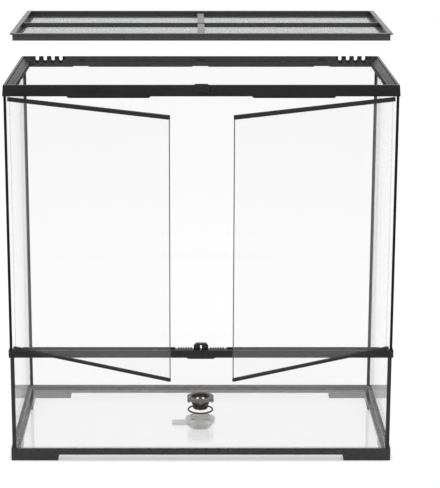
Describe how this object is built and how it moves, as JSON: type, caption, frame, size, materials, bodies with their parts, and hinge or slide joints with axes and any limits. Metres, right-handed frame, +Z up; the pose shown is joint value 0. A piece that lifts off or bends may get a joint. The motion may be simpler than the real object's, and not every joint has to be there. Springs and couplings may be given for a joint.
{
  "type": "paludarium",
  "caption": "Tall glass tank in black frames with a water-tight lower part, hinged glass doors above it, a lift-out screen lid and a floor drain with a strainer.",
  "frame": {"origin": "on the surface that the feet stand on, at the middle of the tank's footprint", "axes": "+Z up, front and doors towards -Y, the viewer's right towards +X"},
  "size_m": [0.915, 0.6958, 1.032],
  "materials": {
    "black_plastic": "fine satin moulding",
    "clear_glass": "clear float glass, polished edges",
    "black_silicone": "satin black silicone",
    "clear_silicone": "clear silicone",
    "screen": "fine woven screen cloth",
    "milky_plastic": "milky translucent moulding",
    "strainer_plastic": "brown-grey satin moulding",
    "seal_rubber": "black rubber",
    "steel": "plain steel"
  },
  "bodies": {
    "tank": {"base_frame": "black_plastic", "floor_glass": "clear_glass", "back_glass": "clear_glass", "left_glass": "clear_glass", "right_glass": "clear_glass", "front_glass": "clear_glass", "left_corner_trim": "black_plastic", "right_corner_trim": "black_plastic", "back_corner_seams": "black_silicone", "front_corner_seams": "black_silicone", "floor_seams": "clear_silicone", "sill_rail": "black_plastic", "sill_end_caps": "black_plastic", "vent_grille": "black_plastic", "door_stop_strips": "black_plastic", "door_catch": "black_plastic", "catch_magnets": "steel", "catch_base": "black_plastic", "top_frame": "black_plastic", "front_tab": "black_plastic", "drain_body": "milky_plastic"},
    "left_door": {"left_door_pane": "clear_glass", "left_door_top_bar": "black_plastic", "left_door_bottom_bar": "black_plastic", "left_door_hinge_pins": "steel", "left_door_striker": "steel"},
    "right_door": {"right_door_pane": "clear_glass", "right_door_top_bar": "black_plastic", "right_door_bottom_bar": "black_plastic", "right_door_hinge_pins": "steel", "right_door_striker": "steel"},
    "lid": {"lid_frame": "black_plastic", "lid_mesh": "screen", "lid_retainer": "black_plastic"},
    "strainer": {"drain_ring": "strainer_plastic", "drain_basket": "strainer_plastic"},
    "sealing_ring": {"drain_seal": "seal_rubber"},
    "left_shutter": {"left_inlet_shutter": "black_plastic"},
    "right_shutter": {"right_inlet_shutter": "black_plastic"}
  },
  "joints": [
    {"name": "left_door_hinge", "type": "hinge", "parent": "tank", "child": "left_door", "pos_m": [-0.443, -0.228, 0.58], "axis": [0, 0, -1], "range_deg": [-32, 63]},
    {"name": "right_door_hinge", "type": "hinge", "parent": "tank", "child": "right_door", "pos_m": [0.443, -0.228, 0.58], "axis": [0, 0, 1], "range_deg": [-32, 63]},
    {"name": "lid_lift", "type": "slide", "parent": "tank", "child": "lid", "axis": [0, 0, 1], "range_m": [-0.126, 0.08]},
    {"name": "strainer_lift", "type": "slide", "parent": "tank", "child": "strainer", "axis": [0, 0, 1], "range_m": [-0.042, 0.06]},
    {"name": "sealing_ring_lift", "type": "slide", "parent": "tank", "child": "sealing_ring", "axis": [0, 0, 1], "range_m": [-0.016, 0.023]},
    {"name": "left_shutter_slide", "type": "slide", "parent": "tank", "child": "left_shutter", "axis": [-1, 0, 0], "range_m": [0, 0.01]},
    {"name": "right_shutter_slide", "type": "slide", "parent": "tank", "child": "right_shutter", "axis": [1, 0, 0], "range_m": [0, 0.01]}
  ],
  "couplings": [
    {"joint": "sealing_ring_lift", "follows": "strainer_lift", "ratio": 0.38094}
  ]
}
